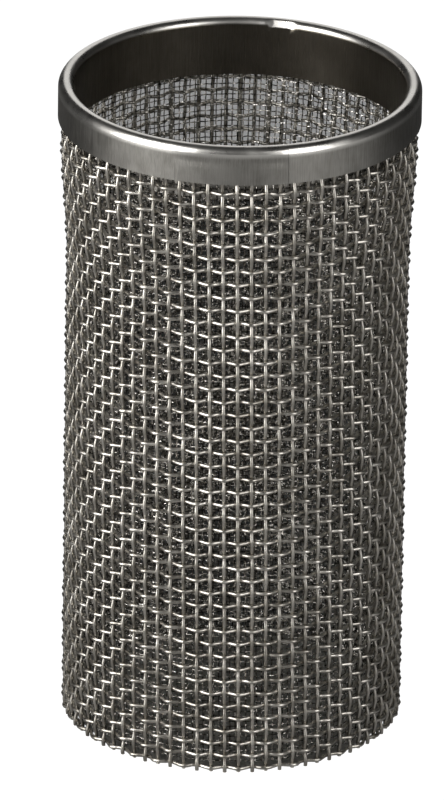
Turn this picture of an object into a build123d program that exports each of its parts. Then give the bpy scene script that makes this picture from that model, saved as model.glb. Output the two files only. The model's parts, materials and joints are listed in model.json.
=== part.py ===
from build123d import *
from math import cos, degrees, pi, radians, sin
import os

# Strainer screen: a fine woven wire cloth inside a coarse one, both rolled to a tube
# and clamped at the top in a ring of folded sheet. The foot is open.
# The origin is the centre of the foot, +Z runs up the axis, and -Y is the front.
# Angles are counted from the front towards +X.

# Coarse cloth, plain square weave
warp_wires = 76
mesh_pitch = 1.5875
support_wire = 0.45
tip_length = 0.8

# Fine cloth, plain square weave
filter_wire = 0.14
filter_foot = 0.9

# Tube, a little wider where the ring holds it
screen_height = 77.6
flare = 0.69
flare_height = 14.0

# Ring of folded sheet
sheet = 0.25
band_height = 4.4
sleeve_height = 6.8

# Butt joint of the ring's strip, a fine line at the front
joint_angle = 15.5
joint_width = 0.12
joint_depth = 0.08

# Flattened patch on the inside of the lip, at the rear
pinch_angle = 165.7
pinch_width = 3.0
pinch_depth = 0.1

# Clearances
layer_gap = 0.02
sleeve_gap = 0.02
band_stand_off = 0.07
lip_gap = 0.1

# Ridges stand for the wires, and a plain grid of gaps in the wall for the open meshes
gaps_around = 12
gap_rows = 10
post_width = 3.6
beam_height = 2.5
hoop_height = 0.4

# Radii. An offset counts outwards from the middle of the coarse cloth
body_radius = warp_wires * mesh_pitch / (2 * pi)
seat_radius = body_radius + flare
filter_outer = -support_wire - layer_gap
filter_inner = filter_outer - 2 * filter_wire
band_inside = seat_radius + support_wire + band_stand_off
band_outside = band_inside + sheet
sleeve_outside = seat_radius + filter_inner - sleeve_gap
sleeve_inside = sleeve_outside - sheet
lip_radius = (band_outside - sleeve_inside) / 2
lip_centre = (band_outside + sleeve_inside) / 2

# Heights, from the foot up
band_foot = screen_height - band_height
sleeve_foot = screen_height - sleeve_height
lip_level = screen_height - lip_radius
cloth_top = lip_level - lip_gap
flare_foot = sleeve_foot - flare_height

# Gaps, with a post between two columns and a beam between two rows
gap_turn = 360 / gaps_around
gap_width = 2 * pi * body_radius / gaps_around - post_width
lowest_gap = tip_length + beam_height
row_height = (sleeve_foot - lowest_gap) / gap_rows
gap_height = row_height - beam_height
gap_levels = [lowest_gap + gap_height / 2 + row * row_height for row in range(gap_rows)]

# A ridge runs up the middle of each post and along the middle of each beam
rib_arc = degrees(support_wire / body_radius)
hoop_levels = [lowest_gap - beam_height / 2 + row * row_height for row in range(gap_rows + 1)]


def section_plane(angle):
    """Plane through the axis at an angle: x runs outwards and y runs up."""
    turn = radians(angle)
    return Plane(origin=(0, 0, 0), x_dir=(sin(turn), -cos(turn), 0), z_dir=(-cos(turn), -sin(turn), 0))


def cloth_radius(height):
    """Radius of the middle of the coarse cloth at a height."""
    rise = min(max(height - flare_foot, 0), flare_height)
    return body_radius + flare * rise / flare_height


def cloth_section(inner, outer, foot):
    """Section of a wall between two offsets: straight, flared below the ring, then straight."""
    levels = [foot, flare_foot, sleeve_foot, cloth_top]
    inner_side = [(cloth_radius(level) + inner, level) for level in levels]
    outer_side = [(cloth_radius(level) + outer, level) for level in levels]
    with BuildLine() as outline:
        Polyline(*inner_side, *reversed(outer_side), close=True)
    make_face(outline.edges())


def hoop_sections():
    """Sections of the hoops, each a ridge that comes to an edge at the cloth's outer face."""
    for level in hoop_levels:
        with Locations((cloth_radius(level), level)):
            low_edge = (-support_wire / 2, -support_wire / 2)
            high_edge = (-support_wire / 2, support_wire / 2)
            Polygon(low_edge, (hoop_height, 0), high_edge, align=None)


def cut_gaps():
    """A plain grid of gaps through a wall."""
    with Locations(*[(0, 0, level) for level in gap_levels]):
        with PolarLocations(body_radius, gaps_around, -90 + gap_turn / 2):
            Box(gap_width, gap_width, gap_height, mode=Mode.SUBTRACT)


def channel_section(top, bottom):
    """Section of the folded strip between two depths under its outer face."""
    outside = band_outside - top
    inside = sleeve_inside + top
    outer_foot = (outside, band_foot)
    outer_turn = (outside, lip_level)
    outer_crown = (lip_centre, screen_height - top)
    inner_turn = (inside, lip_level)
    inner_foot = (inside, sleeve_foot)
    back_foot = (sleeve_inside + bottom, sleeve_foot)
    back_turn = (sleeve_inside + bottom, lip_level)
    back_crown = (lip_centre, screen_height - bottom)
    front_turn = (band_outside - bottom, lip_level)
    front_foot = (band_outside - bottom, band_foot)
    with BuildLine() as outline:
        Line(outer_foot, outer_turn)
        ThreePointArc(outer_turn, outer_crown, inner_turn)
        Polyline(inner_turn, inner_foot, back_foot, back_turn)
        ThreePointArc(back_turn, back_crown, front_turn)
        Polyline(front_turn, front_foot, outer_foot)
    make_face(outline.edges())


# One rib of the coarse cloth, from its bare end at the foot to the top
with BuildPart() as warp_rib:
    with BuildSketch(section_plane(-rib_arc / 2)):
        cloth_section(-support_wire / 2, support_wire, 0)
    revolve(axis=Axis.Z, revolution_arc=rib_arc)

# Coarse cloth: a wall with hoops for the weft wires and ribs for the warp wires.
# The bare ends of the ribs stand below the lowest hoop and carry the screen
with BuildPart() as support_mesh:
    with BuildSketch(section_plane(0)):
        cloth_section(-support_wire, 0, tip_length)
        hoop_sections()
    revolve(axis=Axis.Z)
    cut_gaps()
    with PolarLocations(0, gaps_around):
        add(warp_rib.part)

# Fine cloth: a thin wall close inside the coarse one, open wherever that one is
with BuildPart() as filter_mesh:
    with BuildSketch(section_plane(0)):
        cloth_section(filter_inner, filter_outer, filter_foot)
    revolve(axis=Axis.Z)
    cut_gaps()

# End ring: one strip folded over the top of both cloths, short outside and deeper inside
with BuildPart() as end_ring:
    with BuildSketch(section_plane(0)):
        channel_section(0, sheet)
    revolve(axis=Axis.Z)
    with BuildSketch(section_plane(joint_angle)):
        channel_section(-joint_depth, joint_depth)
    extrude(amount=joint_width / 2, both=True, mode=Mode.SUBTRACT)
    with Locations(section_plane(pinch_angle).location):
        with Locations(Location((lip_centre, lip_level, 0), (0, 0, 135))):
            with Locations((lip_radius + sheet - pinch_depth, 0, 0)):
                Box(2 * sheet, 2 * lip_radius, pinch_width, mode=Mode.SUBTRACT)

os.makedirs("parts", exist_ok=True)

support_mesh.part.label = "support_mesh"
export_step(support_mesh.part, "parts/support_mesh.step")

filter_mesh.part.label = "filter_mesh"
export_step(filter_mesh.part, "parts/filter_mesh.step")

end_ring.part.label = "end_ring"
export_step(end_ring.part, "parts/end_ring.step")
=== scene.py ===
import json
from math import ceil, cos, pi, radians, sin, tan

import bmesh
import bpy
import numpy as np
from bpy.props import FloatProperty, FloatVectorProperty, IntProperty, PointerProperty
from mathutils import Matrix, Vector


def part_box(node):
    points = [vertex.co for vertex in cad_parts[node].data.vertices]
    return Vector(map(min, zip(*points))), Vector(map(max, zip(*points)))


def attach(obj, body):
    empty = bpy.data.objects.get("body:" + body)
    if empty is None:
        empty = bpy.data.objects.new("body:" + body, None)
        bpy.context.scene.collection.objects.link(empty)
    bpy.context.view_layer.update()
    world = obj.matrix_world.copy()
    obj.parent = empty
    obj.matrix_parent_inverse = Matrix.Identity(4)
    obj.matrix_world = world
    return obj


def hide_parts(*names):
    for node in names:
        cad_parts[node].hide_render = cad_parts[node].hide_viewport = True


bl_info = {
    "name": "Strainer Screen",
    "version": (1, 0, 0),
    "blender": (4, 5, 0),
    "location": "View3D > Sidebar > Strainer",
    "description": "Weaves a strainer screen and folds its end ring around the packed frame",
    "category": "Add Mesh",
}

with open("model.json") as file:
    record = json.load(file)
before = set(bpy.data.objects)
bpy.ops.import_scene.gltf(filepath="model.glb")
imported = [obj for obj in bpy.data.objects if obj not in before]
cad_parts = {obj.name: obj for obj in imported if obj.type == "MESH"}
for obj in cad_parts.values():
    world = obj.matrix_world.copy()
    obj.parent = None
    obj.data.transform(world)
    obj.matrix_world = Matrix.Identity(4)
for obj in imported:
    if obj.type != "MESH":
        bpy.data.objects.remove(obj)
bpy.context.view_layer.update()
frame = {"record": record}

# What the frame says of the ring and the cloths
MM = 0.001
MOUNTS = {mount["name"]: mount for mount in frame["record"]["mounts"]}
RING_LOW, RING_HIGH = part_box("end_ring")
SLEEVE_INSIDE = MOUNTS["ring_bore"]["dims"]["r_mm"] * MM
BAND_OUTSIDE = MOUNTS["ring_band"]["dims"]["r_mm"] * MM
BAND_LENGTH = MOUNTS["ring_band"]["dims"]["length_mm"] * MM
BAND_FOOT = MOUNTS["ring_band"]["pos_m"][2] - BAND_LENGTH / 2
SLEEVE_FOOT = RING_LOW.z
SCREEN_HEIGHT = RING_HIGH.z
LIP_RADIUS = (BAND_OUTSIDE - SLEEVE_INSIDE) / 2
LIP_CENTRE = (BAND_OUTSIDE + SLEEVE_INSIDE) / 2
LIP_LEVEL = SCREEN_HEIGHT - LIP_RADIUS
CLOTH_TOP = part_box("support_mesh")[1].z
FILTER_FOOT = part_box("filter_mesh")[0].z

# Edges up to these angles are shaded as one surface
CLOTH_SMOOTH = radians(60)
RING_SMOOTH = radians(40)


class CoarseCloth(bpy.types.PropertyGroup):
    """The outer cloth, which carries the fine one."""

    warp_wires: IntProperty(name="Warp wires", description="Upright wires round the tube", default=76)
    pitch: FloatProperty(
        name="Pitch", description="From wire to wire", default=1.5875 * MM, unit="LENGTH"
    )
    wire: FloatProperty(name="Wire", description="Wire diameter", default=0.45 * MM, unit="LENGTH")
    warp_share: FloatProperty(
        name="Warp crimp", description="Share of the crimp that the warp wires take", default=0.3,
        subtype="FACTOR"
    )
    foot: FloatProperty(name="Foot", description="Height of the cut ends", default=0.0, unit="LENGTH")
    first_row: FloatProperty(
        name="First row", description="Height of the lowest hoop wire", default=0.5 * MM, unit="LENGTH"
    )
    radius: FloatProperty(
        name="Radius", description="Middle of the cloth below the flare", default=19.202 * MM, unit="LENGTH"
    )
    turn: FloatProperty(
        name="Turn", description="Angle of the first warp wire at the foot", default=radians(-1.75),
        subtype="ANGLE"
    )
    sides: IntProperty(name="Sides", description="Sides of a wire's section", default=8)
    steps: IntProperty(name="Steps", description="Lengths of wire from one crossing to the next", default=4)


class FineCloth(bpy.types.PropertyGroup):
    """The inner cloth, which strains."""

    warp_wires: IntProperty(name="Warp wires", description="Upright wires round the tube", default=190)
    pitch: FloatProperty(name="Pitch", description="From wire to wire", default=0.635 * MM, unit="LENGTH")
    wire: FloatProperty(name="Wire", description="Wire diameter", default=0.14 * MM, unit="LENGTH")
    warp_share: FloatProperty(
        name="Warp crimp", description="Share of the crimp that the warp wires take", default=0.5,
        subtype="FACTOR"
    )
    foot: FloatProperty(
        name="Foot", description="Height of the cut ends", default=FILTER_FOOT, unit="LENGTH"
    )
    first_row: FloatProperty(
        name="First row", description="Height of the lowest hoop wire", default=1.1 * MM, unit="LENGTH"
    )
    radius: FloatProperty(
        name="Radius", description="Middle of the cloth below the flare", default=18.55 * MM, unit="LENGTH"
    )
    turn: FloatProperty(
        name="Turn", description="Angle of the first warp wire at the foot", default=0.0, subtype="ANGLE"
    )
    sides: IntProperty(name="Sides", description="Sides of a wire's section", default=4)
    steps: IntProperty(name="Steps", description="Lengths of wire from one crossing to the next", default=1)


class TubeShape(bpy.types.PropertyGroup):
    """How the rolled cloths depart from a straight tube."""

    flare: FloatProperty(
        name="Flare", description="How much wider the tube is in its ring", default=0.69 * MM, unit="LENGTH"
    )
    flare_height: FloatProperty(
        name="Flare height", description="Height over which the tube widens", default=14 * MM, unit="LENGTH"
    )
    lean: FloatProperty(
        name="Lean", description="Turn of the warp wires from the top to the foot", default=radians(3.75),
        subtype="ANGLE"
    )
    slack: FloatProperty(
        name="Slack", description="How far the middle rows have slipped down", default=0.46 * MM,
        unit="LENGTH"
    )
    waviness: FloatProperty(
        name="Waviness", description="How far the wires stray from their rows", default=0.12 * MM,
        unit="LENGTH"
    )
    wave_length: FloatProperty(
        name="Wave length", description="Size of the uneven places", default=9 * MM, unit="LENGTH"
    )


class RingShape(bpy.types.PropertyGroup):
    """The ring of folded sheet."""

    sheet: FloatProperty(
        name="Sheet", description="Thickness of the sheet", default=0.25 * MM, unit="LENGTH"
    )
    joint_angle: FloatProperty(
        name="Joint", description="Angle of the strip's butt joint", default=radians(15.5), subtype="ANGLE"
    )
    joint_gap: FloatProperty(
        name="Joint gap", description="Gap between the strip's ends", default=0.04 * MM, unit="LENGTH"
    )
    bulge_angle: FloatProperty(
        name="Bulge", description="Angle from which the bead stands proud, up to the joint",
        default=radians(-17.5), subtype="ANGLE"
    )
    bulge: FloatProperty(
        name="Bulge height", description="How far the bead stands proud beside the joint",
        default=0.05 * MM, unit="LENGTH"
    )
    crease: FloatProperty(
        name="Crease", description="How deep the fold under the bead is", default=0.04 * MM, unit="LENGTH"
    )
    pinch_angle: FloatProperty(
        name="Pinch", description="Angle of the flattened place on the lip", default=radians(165.7),
        subtype="ANGLE"
    )
    pinch_width: FloatProperty(
        name="Pinch width", description="Width of the flattened place", default=3 * MM, unit="LENGTH"
    )
    pinch_middle: FloatProperty(
        name="Pinch middle", description="Middle of the flattened arc of the lip, from its outer side",
        default=radians(147), subtype="ANGLE"
    )
    pinch_reach: FloatProperty(
        name="Pinch reach", description="Half the arc of the lip that is flattened", default=radians(36),
        subtype="ANGLE"
    )
    lip_steps: IntProperty(
        name="Lip steps", description="Steps of the lip's arc, counted round a full circle", default=40
    )
    wall_steps: IntProperty(
        name="Wall steps", description="Steps down the band and down the sleeve", default=10
    )
    turns: IntProperty(name="Steps round", description="Steps of the strip round the ring", default=320)


class Finish(bpy.types.PropertyGroup):
    """Colours of the metal where it is dull and where it is bright."""

    band_dull: FloatVectorProperty(
        name="Band, dull", description="Brushed sheet in the scratches", default=(0.17, 0.162, 0.145),
        subtype="COLOR", size=3
    )
    band_bright: FloatVectorProperty(
        name="Band, bright", description="Brushed sheet between the scratches",
        default=(0.42, 0.405, 0.375), subtype="COLOR", size=3
    )
    # Painted shade: the inside of the sleeve is coloured near black for the shade in the ring, with stains
    # mixed in.
    sleeve_painted_shade_dull: FloatVectorProperty(
        name="Sleeve, dull", description="Stained inside of the ring", default=(0.065, 0.057, 0.044),
        subtype="COLOR", size=3
    )
    sleeve_painted_shade_bright: FloatVectorProperty(
        name="Sleeve, bright", description="Inside of the ring where it is rubbed",
        default=(0.13, 0.117, 0.095), subtype="COLOR", size=3
    )
    # Painted highlight: the lip is coloured lighter than the band so that its highlight shows brighter.
    lip: FloatVectorProperty(
        name="Lip", description="Rolled lip of the ring", default=(0.66, 0.64, 0.6), subtype="COLOR",
        size=3
    )
    coarse_dull: FloatVectorProperty(
        name="Coarse wire, dull", description="Outer cloth where it is stained",
        default=(0.31, 0.289, 0.252), subtype="COLOR", size=3
    )
    coarse_bright: FloatVectorProperty(
        name="Coarse wire, bright", description="Outer cloth where it is rubbed",
        default=(0.55, 0.524, 0.476), subtype="COLOR", size=3
    )
    # Painted shade: the fine wire's dull colour is near black, as if shaded behind the coarse cloth; its
    # bright colour paints brighter glints.
    fine_painted_shade_dull: FloatVectorProperty(
        name="Fine wire, dull", description="Inner cloth where it is stained",
        default=(0.045, 0.041, 0.034), subtype="COLOR", size=3
    )
    fine_bright: FloatVectorProperty(
        name="Fine wire, bright", description="Inner cloth where it is rubbed",
        default=(0.78, 0.75, 0.7), subtype="COLOR", size=3
    )


class Studio(bpy.types.PropertyGroup):
    """Camera, floor and lamps."""

    distance: FloatProperty(
        name="Distance", description="From the axis to the camera, along the floor", default=1.20898,
        unit="LENGTH"
    )
    height: FloatProperty(
        name="Height", description="Height of the camera", default=0.56338, unit="LENGTH"
    )
    pitch: FloatProperty(
        name="Pitch", description="How far the camera looks down", default=radians(23.486), subtype="ANGLE"
    )
    yaw: FloatProperty(
        name="Yaw", description="How far the camera looks to the left", default=radians(0.073),
        subtype="ANGLE"
    )
    roll: FloatProperty(
        name="Roll", description="How far the camera is turned about its view", default=radians(0.85),
        subtype="ANGLE"
    )
    lens: FloatProperty(name="Lens", description="Focal length in millimetres", default=516.99)
    floor_radius: FloatProperty(
        name="Floor radius", description="From the axis to the floor's edge", default=4.0, unit="LENGTH"
    )
    box_distance: FloatProperty(
        name="Softbox distance", description="From the axis to the softboxes", default=0.45, unit="LENGTH"
    )
    box_height: FloatProperty(
        name="Softbox height", description="Height of the softboxes", default=0.6, unit="LENGTH"
    )
    key_power: FloatProperty(
        name="Key", description="Power of the left softbox", default=4.8, subtype="POWER"
    )
    side_power: FloatProperty(
        name="Side", description="Power of the right softbox", default=1.5, subtype="POWER"
    )
    rear_power: FloatProperty(
        name="Rear", description="Power of the softbox behind", default=0.4, subtype="POWER"
    )
    low_elevation: FloatProperty(
        name="Low sun", description="Height of the floor's low sun", default=radians(22.8),
        subtype="ANGLE"
    )
    low_power: FloatProperty(name="Low sun power", description="Strength of the low sun", default=7.0)
    high_elevation: FloatProperty(
        name="High sun", description="Height of the floor's high sun", default=radians(28.2),
        subtype="ANGLE"
    )
    high_power: FloatProperty(name="High sun power", description="Strength of the high sun", default=2.0)
    floor_tone: FloatProperty(name="Floor", description="Grey of the floor", default=0.9, subtype="FACTOR")
    # Painted shade: what the metal reflects of the floor is grey, darker behind the screen, while the
    # camera sees the floor white.
    floor_front: FloatProperty(
        name="Floor in front", description="Grey that the metal reflects of the floor in front",
        default=0.27, subtype="FACTOR"
    )
    floor_back: FloatProperty(
        name="Floor behind", description="Grey that the metal reflects of the floor behind", default=0.04,
        subtype="FACTOR"
    )
    air: FloatProperty(name="Air", description="Grey of the room around", default=0.015)


class StrainerScreen(bpy.types.PropertyGroup):
    """All values of the strainer screen."""

    coarse: PointerProperty(type=CoarseCloth)
    fine: PointerProperty(type=FineCloth)
    tube: PointerProperty(type=TubeShape)
    ring: PointerProperty(type=RingShape)
    finish: PointerProperty(type=Finish)
    studio: PointerProperty(type=Studio)


def deselect_all():
    """Leaves nothing selected and no mesh open."""
    if bpy.context.mode != "OBJECT":
        bpy.ops.object.mode_set(mode="OBJECT")
    bpy.ops.object.select_all(action="DESELECT")


def take(*objects):
    """Selects these objects alone and makes the first one active."""
    deselect_all()
    for item in objects:
        item.select_set(True)
    bpy.context.view_layer.objects.active = objects[0]


def points_of(piece):
    """The vertices of a mesh as rows of an array."""
    points = np.empty(len(piece.data.vertices) * 3)
    piece.data.vertices.foreach_get("co", points)
    return points.reshape(-1, 3)


def pick(piece, chosen):
    """Opens a mesh with exactly these vertices selected."""
    take(piece)
    bpy.ops.object.mode_set(mode="EDIT")
    bpy.ops.mesh.select_mode(type="VERT")
    bpy.ops.mesh.select_all(action="DESELECT")
    bpy.ops.object.mode_set(mode="OBJECT")
    piece.data.vertices.foreach_set("select", np.asarray(chosen, dtype=bool))
    bpy.ops.object.mode_set(mode="EDIT")


def close_mesh():
    """Goes back from edit mode."""
    bpy.ops.object.mode_set(mode="OBJECT")


def apply_place():
    """Puts the active object's place into its mesh."""
    bpy.ops.object.transform_apply(location=True, rotation=True, scale=True)


def finish_modifier(piece, kind, **settings):
    """Adds a modifier with its settings and applies it."""
    take(piece)
    modifier = piece.modifiers.new(kind.title(), kind)
    for name, value in settings.items():
        setattr(modifier, name, value)
    bpy.ops.object.modifier_apply(modifier=modifier.name)


def copy_of(piece, place):
    """A copy with its own mesh, put at a place."""
    double = piece.copy()
    double.data = piece.data.copy()
    bpy.context.collection.objects.link(double)
    double.matrix_world = place
    return double


def join_all(name, copies):
    """Joins copies to one piece with its place in its mesh."""
    bpy.context.view_layer.update()
    take(*copies)
    bpy.ops.object.join()
    piece = bpy.context.view_layer.objects.active
    apply_place()
    piece.name = name
    piece.data.name = name
    return piece


def add_node(tree, kind, **settings):
    """Adds a shader node with its settings."""
    node = tree.nodes.new("ShaderNode" + kind)
    for name, value in settings.items():
        setattr(node, name, value)
    return node


def new_group(name, inputs, outputs):
    """An empty node group with number sockets, and its two ends."""
    group = bpy.data.node_groups.new(name, "ShaderNodeTree")
    for label in inputs:
        group.interface.new_socket(label, in_out="INPUT", socket_type="NodeSocketFloat")
    for label in outputs:
        group.interface.new_socket(label, in_out="OUTPUT", socket_type="NodeSocketFloat")
    return group, group.nodes.new("NodeGroupInput"), group.nodes.new("NodeGroupOutput")


def place_group(tree, group, **values):
    """Puts a node group into a material with its own values."""
    node = tree.nodes.new("ShaderNodeGroup")
    node.node_tree = group
    for label, value in values.items():
        node.inputs[label.replace("_", " ")].default_value = value
    return node


def grain_group():
    """Streaks drawn out along the axis, and wide stains, which on the fine wire stand for painted shade and
    bright patches.
    """
    group = bpy.data.node_groups.get("metal_grain")
    if group is not None:
        return group
    group, given, result = new_group(
        "metal_grain", ("Streak Width", "Streak Length", "Stain Size"), ("Streaks", "Stains")
    )
    links = group.links
    place = add_node(group, "TexCoord")
    for label, widths in (
        ("Streaks", ("Streak Width", "Streak Width", "Streak Length")),
        ("Stains", ("Stain Size", "Stain Size", "Stain Size")),
    ):
        size = add_node(group, "CombineXYZ")
        for axis, width in enumerate(widths):
            links.new(given.outputs[width], size.inputs[axis])
        share = add_node(group, "VectorMath", operation="DIVIDE")
        links.new(place.outputs["Object"], share.inputs[0])
        links.new(size.outputs[0], share.inputs[1])
        noise = add_node(group, "TexNoise")
        noise.inputs["Scale"].default_value = 1
        noise.inputs["Detail"].default_value = 3
        noise.inputs["Roughness"].default_value = 0.65
        links.new(share.outputs[0], noise.inputs["Vector"])
        links.new(noise.outputs[0], result.inputs[label])
    return group


def ring_group():
    """Masks of the ring: the inside of its sleeve, where shade is painted, and the rounded lip, which is
    smoother and painted lighter as a highlight.
    """
    group, given, result = new_group(
        "ring_parts", ("Outer Radius", "Inner Radius", "Lip Level", "Blend"), ("Sleeve", "Lip")
    )
    links = group.links
    place = add_node(group, "TexCoord")
    split = add_node(group, "SeparateXYZ")
    links.new(place.outputs["Object"], split.inputs[0])
    flat = add_node(group, "CombineXYZ")
    links.new(split.outputs["X"], flat.inputs["X"])
    links.new(split.outputs["Y"], flat.inputs["Y"])
    radius = add_node(group, "VectorMath", operation="LENGTH")
    links.new(flat.outputs[0], radius.inputs[0])
    inside = add_node(group, "MapRange", interpolation_type="SMOOTHSTEP")
    links.new(radius.outputs["Value"], inside.inputs["Value"])
    links.new(given.outputs["Outer Radius"], inside.inputs["From Min"])
    links.new(given.outputs["Inner Radius"], inside.inputs["From Max"])
    links.new(inside.outputs[0], result.inputs["Sleeve"])
    top = add_node(group, "Math", operation="ADD")
    links.new(given.outputs["Lip Level"], top.inputs[0])
    links.new(given.outputs["Blend"], top.inputs[1])
    lip = add_node(group, "MapRange", interpolation_type="SMOOTHSTEP")
    links.new(split.outputs["Z"], lip.inputs["Value"])
    links.new(given.outputs["Lip Level"], lip.inputs["From Min"])
    links.new(top.outputs[0], lip.inputs["From Max"])
    links.new(lip.outputs[0], result.inputs["Lip"])
    return group


def blend_colours(tree, share, dull, bright):
    """Mixes two colours by a mask."""
    mix = add_node(tree, "Mix", data_type="RGBA")
    tree.links.new(share, mix.inputs["Factor"])
    for socket, colour in ((mix.inputs[6], dull), (mix.inputs[7], bright)):
        if isinstance(colour, bpy.types.NodeSocket):
            tree.links.new(colour, socket)
        else:
            socket.default_value = (*colour, 1)
    return mix.outputs[2]


def spread(tree, value, low, high, out_low=0, out_high=1):
    """Stretches a number between two limits."""
    node = add_node(tree, "MapRange")
    tree.links.new(value, node.inputs["Value"])
    node.inputs["From Min"].default_value = low
    node.inputs["From Max"].default_value = high
    node.inputs["To Min"].default_value = out_low
    node.inputs["To Max"].default_value = out_high
    return node.outputs[0]


def add_relief(tree, shader, height, depth):
    """Bumps the surface by a height of this depth in metres."""
    bump = add_node(tree, "Bump")
    bump.inputs["Strength"].default_value = 1
    bump.inputs["Distance"].default_value = depth
    tree.links.new(height, bump.inputs["Height"])
    tree.links.new(bump.outputs[0], shader.inputs["Normal"])


def new_metal(name):
    """A material of bare metal, its node tree and its shader."""
    material = bpy.data.materials.new(name)
    material.use_nodes = True
    shader = material.node_tree.nodes["Principled BSDF"]
    shader.inputs["Metallic"].default_value = 1
    return material, material.node_tree, shader


def wire_metal(name, dull, bright, roughness, dent, depth, stain_and_shade_size, edges):
    """Drawn wire, dented where it was woven, mixed at random from a dull and a bright colour: stains and
    rubbed places on the coarse cloth, painted shade and bright patches that brighten its glints on the fine
    cloth.
    Dent and the patch size are their sizes, and the edges are where a patch begins and ends in its noise."""
    material, tree, shader = new_metal(name)
    grain = place_group(tree, grain_group(), Streak_Width=dent, Streak_Length=dent, Stain_Size=stain_and_shade_size)
    # On the fine cloth the dull colour is painted shade and the bright one brightens its glints; on the
    # coarse cloth they are stains and rubbed places.
    stains = spread(tree, grain.outputs["Stains"], *edges)
    tree.links.new(blend_colours(tree, stains, dull, bright), shader.inputs["Base Color"])
    smooth, rough = roughness
    sheen = spread(tree, grain.outputs["Streaks"], 0.3, 0.7, rough, smooth)
    tree.links.new(sheen, shader.inputs["Roughness"])
    add_relief(tree, shader, grain.outputs["Streaks"], depth)
    return material


def ring_metal(finish):
    """Brushed and stained sheet, smoother on the lip, with a painted highlight: a lighter colour on the
    lip, and painted shade: a near-black colour inside the sleeve.
    """
    # The sleeve mask, where shade is painted, is full inside the sleeve and fades out across the lip's
    # inner side.
    sleeve_edge = SLEEVE_INSIDE + LIP_RADIUS * 0.14
    sleeve_face = SLEEVE_INSIDE + LIP_RADIUS * 0.01
    lip_blend = 0.6 * MM
    stain_share = 0.5
    lip_polish = 0.85
    scratch_depth = 0.006 * MM
    material, tree, shader = new_metal("ring_sheet_metal")
    grain = place_group(
        tree, grain_group(), Streak_Width=0.16 * MM, Streak_Length=3.5 * MM, Stain_Size=4 * MM
    )
    parts = place_group(
        tree, ring_group(), Outer_Radius=sleeve_edge, Inner_Radius=sleeve_face,
        Lip_Level=LIP_LEVEL - 0.5 * MM, Blend=lip_blend
    )
    streaks = spread(tree, grain.outputs["Streaks"], 0.35, 0.65)
    stains = spread(tree, grain.outputs["Stains"], 0.3, 0.7)
    both = add_node(tree, "Math", operation="MULTIPLY_ADD")
    tree.links.new(stains, both.inputs[0])
    both.inputs[1].default_value = stain_share
    tree.links.new(spread(tree, streaks, 0, 1, 0, 1 - stain_share), both.inputs[2])
    band = blend_colours(tree, both.outputs[0], finish.band_dull, finish.band_bright)
    # Painted highlight: the lip takes a lighter colour than the band, so that its highlight shows brighter.
    band = blend_colours(tree, parts.outputs["Lip"], band, finish.lip)
    # Painted shade: the inside of the sleeve takes near-black colours, mixed by the same stains.
    sleeve = blend_colours(tree, both.outputs[0], finish.sleeve_painted_shade_dull, finish.sleeve_painted_shade_bright)
    colour = blend_colours(tree, parts.outputs["Sleeve"], band, sleeve)
    tree.links.new(colour, shader.inputs["Base Color"])
    brushed = spread(tree, streaks, 0, 1, out_low=0.42, out_high=0.28)
    rolled = spread(tree, stains, 0, 1, out_low=0.36, out_high=0.24)
    rough = add_node(tree, "Mix", data_type="FLOAT")
    tree.links.new(parts.outputs["Lip"], rough.inputs["Factor"])
    tree.links.new(brushed, rough.inputs[2])
    tree.links.new(rolled, rough.inputs[3])
    tree.links.new(rough.outputs[0], shader.inputs["Roughness"])
    smooth = add_node(tree, "Math", operation="MULTIPLY_ADD")
    tree.links.new(parts.outputs["Lip"], smooth.inputs[0])
    smooth.inputs[1].default_value = -lip_polish
    smooth.inputs[2].default_value = 1
    height = add_node(tree, "Math", operation="MULTIPLY")
    tree.links.new(streaks, height.inputs[0])
    tree.links.new(smooth.outputs[0], height.inputs[1])
    add_relief(tree, shader, height.outputs[0], scratch_depth)
    return material


def floor_material(studio):
    """Matt white paper to the camera; what the metal reflects of it is painted grey, darker behind the
    screen as painted shade.
    """
    material = bpy.data.materials.new("pale_floor")
    material.use_nodes = True
    tree = material.node_tree
    shader = tree.nodes["Principled BSDF"]
    place = add_node(tree, "TexCoord")
    split = add_node(tree, "SeparateXYZ")
    tree.links.new(place.outputs["Object"], split.inputs[0])
    reach = 2 * BAND_OUTSIDE
    # Painted shade: for rays other than the camera's the floor is grey, fading from the front to darker
    # behind the screen.
    reflected = spread(tree, split.outputs["Y"], -reach, reach, studio.floor_front, studio.floor_back)
    ray = add_node(tree, "LightPath")
    tone = add_node(tree, "Mix", data_type="FLOAT")
    tree.links.new(ray.outputs["Is Camera Ray"], tone.inputs["Factor"])
    tree.links.new(reflected, tone.inputs[2])
    tone.inputs[3].default_value = studio.floor_tone
    tree.links.new(tone.outputs[0], shader.inputs["Base Color"])
    shader.inputs["Roughness"].default_value = 1
    shader.inputs["Specular IOR Level"].default_value = 0
    return material


def dress(piece, material):
    """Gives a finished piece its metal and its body."""
    piece.data.materials.clear()
    piece.data.materials.append(material)
    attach(piece, "root")


def swell(height):
    """How much wider the tube is at a height: nothing up to the flare, all of it in the ring."""
    tube = bpy.context.scene.strainer.tube
    share = 1 - (SLEEVE_FOOT - height) / tube.flare_height
    share = min(max(share, 0), 1)
    return tube.flare * share * share * (3 - 2 * share)


def slip(height):
    """How far down the rows have slipped at a height: nothing at both ends."""
    share = min(max(height / SCREEN_HEIGHT, 0), 1)
    return bpy.context.scene.strainer.tube.slack * 4 * share * (1 - share)


def row_levels(cloth):
    """Heights of the hoop wires in an even cloth."""
    room = CLOTH_TOP - cloth.wire - cloth.first_row
    return [cloth.first_row + row * cloth.pitch for row in range(int(room / cloth.pitch) + 1)]


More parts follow.
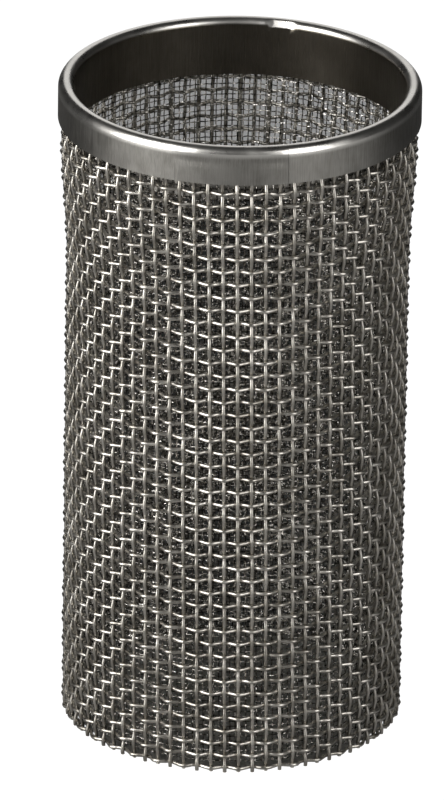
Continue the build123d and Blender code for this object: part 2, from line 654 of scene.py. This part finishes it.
def warp_wire(cloth, shed):
    """One upright wire at the front, crimped over and under the hoop wires. Shed 0 passes outside
    the lowest hoop wire, and shed 1 passes inside it."""
    crimp = cloth.warp_share * cloth.wire
    near = cloth.wire / 100
    waves = ceil((CLOTH_TOP - cloth.foot) / (2 * cloth.pitch)) + 1
    start = cloth.first_row - (2 - shed) * cloth.pitch
    deselect_all()
    bpy.ops.mesh.primitive_cylinder_add(
        vertices=cloth.sides, radius=cloth.wire / 2, depth=2 * cloth.pitch, end_fill_type="NOTHING",
        location=(0, -cloth.radius, start + cloth.pitch)
    )
    wire = bpy.context.object
    apply_place()
    bpy.ops.object.mode_set(mode="EDIT")
    bpy.ops.mesh.select_mode(type="EDGE")
    bpy.ops.mesh.select_all(action="DESELECT")
    sketch = bmesh.from_edit_mesh(wire.data)
    for edge in sketch.edges:
        low, high = (end.co.z for end in edge.verts)
        edge.select_set(abs(high - low) > cloth.pitch)
    bmesh.update_edit_mesh(wire.data)
    bpy.ops.mesh.subdivide(number_cuts=2 * cloth.steps - 1)
    close_mesh()
    points = points_of(wire)
    for step in range(2 * cloth.steps + 1):
        level = start + step * cloth.pitch / cloth.steps
        pick(wire, abs(points[:, 2] - level) < near)
        bpy.ops.transform.translate(value=(0, -crimp * cos(pi * step / cloth.steps), 0))
        close_mesh()
    finish_modifier(
        wire, "ARRAY", count=waves, use_relative_offset=False, use_constant_offset=True,
        constant_offset_displace=(0, 0, 2 * cloth.pitch), use_merge_vertices=True,
        merge_threshold=cloth.wire / 20
    )
    for level, upwards in ((cloth.foot, -1), (CLOTH_TOP, 1)):
        pick(wire, np.ones(len(wire.data.vertices)))
        bpy.ops.mesh.bisect(
            plane_co=(0, 0, level), plane_no=(0, 0, upwards), use_fill=True, clear_outer=True
        )
        close_mesh()
    points = points_of(wire)
    for level in np.unique(np.round(points[:, 2], 7)):
        pick(wire, abs(points[:, 2] - level) < near)
        bpy.ops.transform.translate(value=(0, -swell(level), -slip(level)))
        close_mesh()
    return wire


def hoop_wire(cloth):
    """One hoop wire at the floor, crimped so that it passes inside the warp wire at the front."""
    crimp = (1 - cloth.warp_share) * cloth.wire
    around = cloth.warp_wires * cloth.steps
    deselect_all()
    bpy.ops.mesh.primitive_torus_add(
        major_segments=around, minor_segments=cloth.sides, major_radius=cloth.radius,
        minor_radius=cloth.wire / 2, rotation=(0, 0, -pi / 2)
    )
    hoop = bpy.context.object
    apply_place()
    points = points_of(hoop)
    step = np.round(np.arctan2(points[:, 0], -points[:, 1]) / (2 * pi) * around).astype(int)
    place = step % (2 * cloth.steps)
    for spot in range(2 * cloth.steps):
        out = -crimp * cos(pi * spot / cloth.steps)
        size = (cloth.radius + out) / cloth.radius
        pick(hoop, place == spot)
        bpy.ops.transform.resize(value=(size, size, 1), center_override=(0, 0, 0))
        close_mesh()
    return hoop


def shape_tube(piece):
    """Gives a piece of cloth the lean and the slight waves of the rolled tube."""
    tube = bpy.context.scene.strainer.tube
    heights = points_of(piece)[:, 2]
    turn = -tube.lean * (heights.max() - heights.min()) / SCREEN_HEIGHT
    finish_modifier(piece, "SIMPLE_DEFORM", deform_method="TWIST", deform_axis="Z", angle=turn)
    texture = bpy.data.textures.get("cloth_waves")
    if texture is None:
        texture = bpy.data.textures.new("cloth_waves", "CLOUDS")
        texture.noise_scale = tube.wave_length
        texture.noise_depth = 1
        texture.cloud_type = "COLOR"
    finish_modifier(
        piece, "DISPLACE", texture=texture, texture_coords="LOCAL", direction="RGB_TO_XYZ",
        space="LOCAL", strength=tube.waviness, mid_level=0.5
    )
    take(piece)
    bpy.ops.object.shade_smooth_by_angle(angle=CLOTH_SMOOTH)


def weave(cloth, name, split):
    """All wires of one cloth: the warp wires and the hoop wires, each split by shed or whole."""
    turn = 2 * pi / cloth.warp_wires
    warp = []
    for shed in range(2):
        wire = warp_wire(cloth, shed)
        copies = [
            copy_of(wire, Matrix.Rotation(cloth.turn + (2 * k + shed) * turn, 4, "Z"))
            for k in range(cloth.warp_wires // 2)
        ]
        bpy.data.objects.remove(wire)
        warp.append(join_all(name + "_warp_" + "ab"[shed], copies))
    hoop = hoop_wire(cloth)
    hoops = [[], []]
    for row, level in enumerate(row_levels(cloth)):
        size = (cloth.radius + swell(level)) / cloth.radius
        place = Matrix.Translation((0, 0, level - slip(level)))
        place = place @ Matrix.Rotation(cloth.turn + (row % 2) * turn, 4, "Z")
        place = place @ Matrix.Diagonal((size, size, 1, 1))
        hoops[row % 2].append(copy_of(hoop, place))
    bpy.data.objects.remove(hoop)
    weft = [join_all(name + "_hoops_" + "ab"[shed], hoops[shed]) for shed in range(2)]
    if split:
        pieces = warp + weft
    else:
        pieces = [join_all(name + "_warp", warp), join_all(name + "_hoops", weft)]
    for piece in pieces:
        shape_tube(piece)
    return pieces


class STRAINER_OT_add_coarse_cloth(bpy.types.Operator):
    """Weave the coarse outer cloth"""

    bl_idname = "strainer.add_coarse_cloth"
    bl_label = "Add coarse cloth"

    def execute(self, context):
        values = context.scene.strainer
        pieces = weave(values.coarse, "coarse", split=True)
        finish = wire_metal(
            "coarse_wire_metal", values.finish.coarse_dull, values.finish.coarse_bright,
            roughness=(0.24, 0.42), dent=0.5 * MM, depth=0.03 * MM, stain_and_shade_size=3.5 * MM, edges=(0.35, 0.65)
        )
        for piece in pieces:
            dress(piece, finish)
        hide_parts("support_mesh")
        return {"FINISHED"}


class STRAINER_OT_add_fine_cloth(bpy.types.Operator):
    """Weave the fine inner cloth"""

    bl_idname = "strainer.add_fine_cloth"
    bl_label = "Add fine cloth"

    def execute(self, context):
        values = context.scene.strainer
        pieces = weave(values.fine, "fine", split=False)
        # Painted shade: the fine wire's dull colour is near black, as if shaded behind the coarse cloth,
        # and its bright patches paint its glints brighter.
        finish = wire_metal(
            "fine_wire_metal", values.finish.fine_painted_shade_dull, values.finish.fine_bright,
            roughness=(0.12, 0.2), dent=0.45 * MM, depth=0.2 * MM, stain_and_shade_size=0.55 * MM, edges=(0.46, 0.58)
        )
        for piece in pieces:
            dress(piece, finish)
        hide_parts("filter_mesh")
        return {"FINISHED"}


def ring_places(piece):
    """Angle from the front, and turn about the lip's centre from its outer side, of each vertex."""
    points = points_of(piece)
    angle = np.arctan2(points[:, 0], -points[:, 1])
    out = np.hypot(points[:, 0], points[:, 1]) - LIP_CENTRE
    return angle, np.arctan2(points[:, 2] - LIP_LEVEL, out)


def raise_bead(piece, ring):
    """Pushes the bead out beside the joint and the sheet under it in, fading away from the joint.
    The bead is an arc of the lip, from the level of its centre up, and fullest in the middle."""
    bead_low, bead_high = radians(-1), radians(58)
    full_low, full_high = radians(8), radians(40)
    fold_top, fold_foot = LIP_LEVEL - 0.4 * MM, LIP_LEVEL - 1.2 * MM
    fade_steps = (-3.5, -1.2, 1.2, 3.5)
    angle, turn = ring_places(piece)
    height = points_of(piece)[:, 2]
    outer = abs(turn) < radians(88)
    bead = outer & (turn > bead_low) & (turn < bead_high)
    full_bead = outer & (turn > full_low) & (turn < full_high)
    fold = outer & (height < fold_top) & (height > fold_foot)
    for step in fade_steps:
        start = ring.bulge_angle + radians(step)
        beside = (angle > start) & (angle < ring.joint_angle)
        for chosen, out in (
            (bead, ring.bulge / 2), (full_bead, ring.bulge / 2), (fold, -ring.crease)
        ):
            size = 1 + out / len(fade_steps) / BAND_OUTSIDE
            pick(piece, beside & chosen)
            bpy.ops.transform.resize(value=(size, size, 1), center_override=(0, 0, 0))
            close_mesh()


def pinch_lip(piece, ring):
    """Flattens the inner side of the lip at one place, row by row."""
    angle, turn = ring_places(piece)
    middle = ring.pinch_middle
    across = abs(angle - ring.pinch_angle) < ring.pinch_width / (2 * SLEEVE_INSIDE)
    rows = across & (abs(turn - middle) < ring.pinch_reach)
    push = Matrix.Rotation(ring.pinch_angle, 3, "Z") @ Vector((0, -cos(middle), sin(middle)))
    row_half = radians(2)
    for row in np.unique(np.round(turn[rows], 2)):
        out = LIP_RADIUS * (cos(row - middle) - cos(ring.pinch_reach))
        pick(piece, rows & (abs(turn - row) < row_half))
        bpy.ops.transform.translate(value=-out * push)
        close_mesh()


class STRAINER_OT_add_end_ring(bpy.types.Operator):
    """Fold the end ring from its strip"""

    bl_idname = "strainer.add_end_ring"
    bl_label = "Add end ring"

    def execute(self, context):
        values = context.scene.strainer
        ring = values.ring
        near = LIP_RADIUS / 50
        deselect_all()
        bpy.ops.mesh.primitive_circle_add(
            vertices=ring.lip_steps, radius=LIP_RADIUS, fill_type="NOTHING",
            location=(LIP_CENTRE, 0, LIP_LEVEL), rotation=(pi / 2, 0, 0)
        )
        piece = context.object
        apply_place()
        pick(piece, points_of(piece)[:, 2] < LIP_LEVEL - near)
        bpy.ops.mesh.delete(type="VERT")
        close_mesh()
        for side, foot in ((BAND_OUTSIDE, BAND_FOOT), (SLEEVE_INSIDE, SLEEVE_FOOT)):
            step = (foot - LIP_LEVEL) / ring.wall_steps
            for _ in range(ring.wall_steps):
                points = points_of(piece)
                column = abs(points[:, 0] - side) < near
                lowest = points[column, 2].min()
                pick(piece, column & (points[:, 2] < lowest + near))
                bpy.ops.mesh.extrude_region_move(TRANSFORM_OT_translate={"value": (0, 0, step)})
                close_mesh()
        strip_gap = ring.joint_gap / BAND_OUTSIDE
        pick(piece, np.ones(len(piece.data.vertices)))
        bpy.ops.transform.rotate(
            value=pi / 2 - ring.joint_angle - strip_gap / 2, orient_axis="Z", center_override=(0, 0, 0)
        )
        bpy.ops.mesh.spin(
            steps=ring.turns, angle=2 * pi - strip_gap, center=(0, 0, 0), axis=(0, 0, 1)
        )
        bpy.ops.mesh.select_all(action="SELECT")
        bpy.ops.mesh.normals_make_consistent(inside=False)
        close_mesh()
        raise_bead(piece, ring)
        pinch_lip(piece, ring)
        finish_modifier(piece, "SOLIDIFY", thickness=ring.sheet, offset=-1)
        take(piece)
        bpy.ops.object.shade_smooth_by_angle(angle=RING_SMOOTH)
        piece.name = "folded_ring"
        dress(piece, ring_metal(values.finish))
        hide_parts("end_ring")
        return {"FINISHED"}


# Stage: where each softbox stands and half the angle that it spans, seen from the screen
KEY_AZIMUTH, KEY_SPREAD = radians(-56), radians(21)
SIDE_AZIMUTH, SIDE_SPREAD = radians(43), radians(14)
REAR_AZIMUTH, REAR_SPREAD = radians(180), radians(15)
SUN_WIDTH = radians(1)

SENSOR_WIDTH = 36
FLOOR_SIDES = 96

# The cylinder that shades the floor stays inside the sleeve, above the floor and under the lip
CORE_SIDES = 64
CORE_RADIUS = SLEEVE_INSIDE - 0.55 * MM
CORE_FOOT = 0.05 * MM
CORE_TOP = SCREEN_HEIGHT - 1.15 * MM


def sky_point(azimuth, elevation, distance):
    """Point seen from the screen at an angle from the front and a height above the floor."""
    flat = distance * cos(elevation)
    return Vector((flat * sin(azimuth), -flat * cos(azimuth), distance * sin(elevation)))


def add_lamp(name, kind, spot, turn, power, lit):
    """A lamp that lights these objects alone, unseen by the camera."""
    deselect_all()
    bpy.ops.object.light_add(type=kind, location=spot, rotation=turn)
    lamp = bpy.context.object
    lamp.name = name
    lamp.data.energy = power
    lamp.visible_camera = False
    group = bpy.data.collections.new(name + "_lit")
    for item in lit:
        group.objects.link(item)
    lamp.light_linking.receiver_collection = group
    return lamp


class STRAINER_OT_add_stage(bpy.types.Operator):
    """Set up the camera, the floor and the lamps"""

    bl_idname = "strainer.add_stage"
    bl_label = "Add stage"

    def execute(self, context):
        studio = context.scene.strainer.studio
        deselect_all()
        bpy.ops.object.camera_add()
        camera = context.object
        place = Matrix.Translation((0, -studio.distance, studio.height))
        place = place @ Matrix.Rotation(studio.yaw, 4, "Z")
        place = place @ Matrix.Rotation(pi / 2 - studio.pitch, 4, "X")
        place = place @ Matrix.Rotation(studio.roll, 4, "Z")
        camera.matrix_world = place
        camera.data.lens = studio.lens
        camera.data.sensor_width = SENSOR_WIDTH
        camera.data.clip_end = 5 * studio.floor_radius
        context.scene.camera = camera
        deselect_all()
        bpy.ops.mesh.primitive_circle_add(
            vertices=FLOOR_SIDES, radius=studio.floor_radius, fill_type="NGON"
        )
        floor = context.object
        floor.name = "floor"
        floor.data.materials.append(floor_material(studio))
        pieces = [item for item in context.scene.objects if item.type == "MESH" and item != floor]
        for name, azimuth, half_angle, power in (
            ("key_softbox", KEY_AZIMUTH, KEY_SPREAD, studio.key_power),
            ("side_softbox", SIDE_AZIMUTH, SIDE_SPREAD, studio.side_power),
            ("rear_softbox", REAR_AZIMUTH, REAR_SPREAD, studio.rear_power),
        ):
            spot = sky_point(azimuth, 0, studio.box_distance) + Vector((0, 0, studio.box_height / 2))
            lamp = add_lamp(name, "AREA", spot, (pi / 2, 0, azimuth), power, pieces)
            lamp.data.shape = "RECTANGLE"
            lamp.data.size = 2 * studio.box_distance * tan(half_angle)
            lamp.data.size_y = studio.box_height
            # Only the pieces block its light, so the floor's shade cylinder doesn't
            lamp.light_linking.blocker_collection = lamp.light_linking.receiver_collection
        for name, elevation, power in (
            ("floor_sun_low", studio.low_elevation, studio.low_power),
            ("floor_sun_high", studio.high_elevation, studio.high_power),
        ):
            spot = sky_point(0, elevation, 1)
            lamp = add_lamp(name, "SUN", spot, (pi / 2 - elevation, 0, 0), power, [floor])
            lamp.data.angle = SUN_WIDTH
        deselect_all()
        bpy.ops.mesh.primitive_cylinder_add(
            vertices=CORE_SIDES, radius=CORE_RADIUS, depth=CORE_TOP - CORE_FOOT,
            location=(0, 0, (CORE_TOP + CORE_FOOT) / 2)
        )
        # Seen only by shadow rays: it makes the floor's shadow behind the screen solid
        core = context.object
        core.name = "shade_core"
        for ray in ("camera", "diffuse", "glossy", "transmission", "volume_scatter"):
            setattr(core, "visible_" + ray, False)
        world = bpy.data.worlds.new("studio")
        context.scene.world = world
        world.use_nodes = True
        background = world.node_tree.nodes["Background"]
        background.inputs["Color"].default_value = (1, 1, 1, 1)
        background.inputs["Strength"].default_value = studio.air
        context.scene.view_settings.view_transform = "Standard"
        return {"FINISHED"}


class STRAINER_PT_panel(bpy.types.Panel):
    """Lists the steps that make the strainer screen"""

    bl_label = "Strainer Screen"
    bl_idname = "STRAINER_PT_panel"
    bl_space_type = "VIEW_3D"
    bl_region_type = "UI"
    bl_category = "Strainer"

    def draw(self, context):
        for step in OPERATORS:
            self.layout.operator(step.bl_idname)


OPERATORS = (
    STRAINER_OT_add_stage,
    STRAINER_OT_add_end_ring,
    STRAINER_OT_add_coarse_cloth,
    STRAINER_OT_add_fine_cloth,
)
CLASSES = (
    CoarseCloth, FineCloth, TubeShape, RingShape, Finish, Studio, StrainerScreen, *OPERATORS,
    STRAINER_PT_panel,
)


def register():
    for item in CLASSES:
        bpy.utils.register_class(item)
    bpy.types.Scene.strainer = PointerProperty(type=StrainerScreen)


def unregister():
    del bpy.types.Scene.strainer
    for item in reversed(CLASSES):
        bpy.utils.unregister_class(item)


def main():
    register()
    bpy.ops.strainer.add_end_ring()
    bpy.ops.strainer.add_coarse_cloth()
    bpy.ops.strainer.add_fine_cloth()
    bpy.ops.strainer.add_stage()


if __name__ == "__main__":
    main()
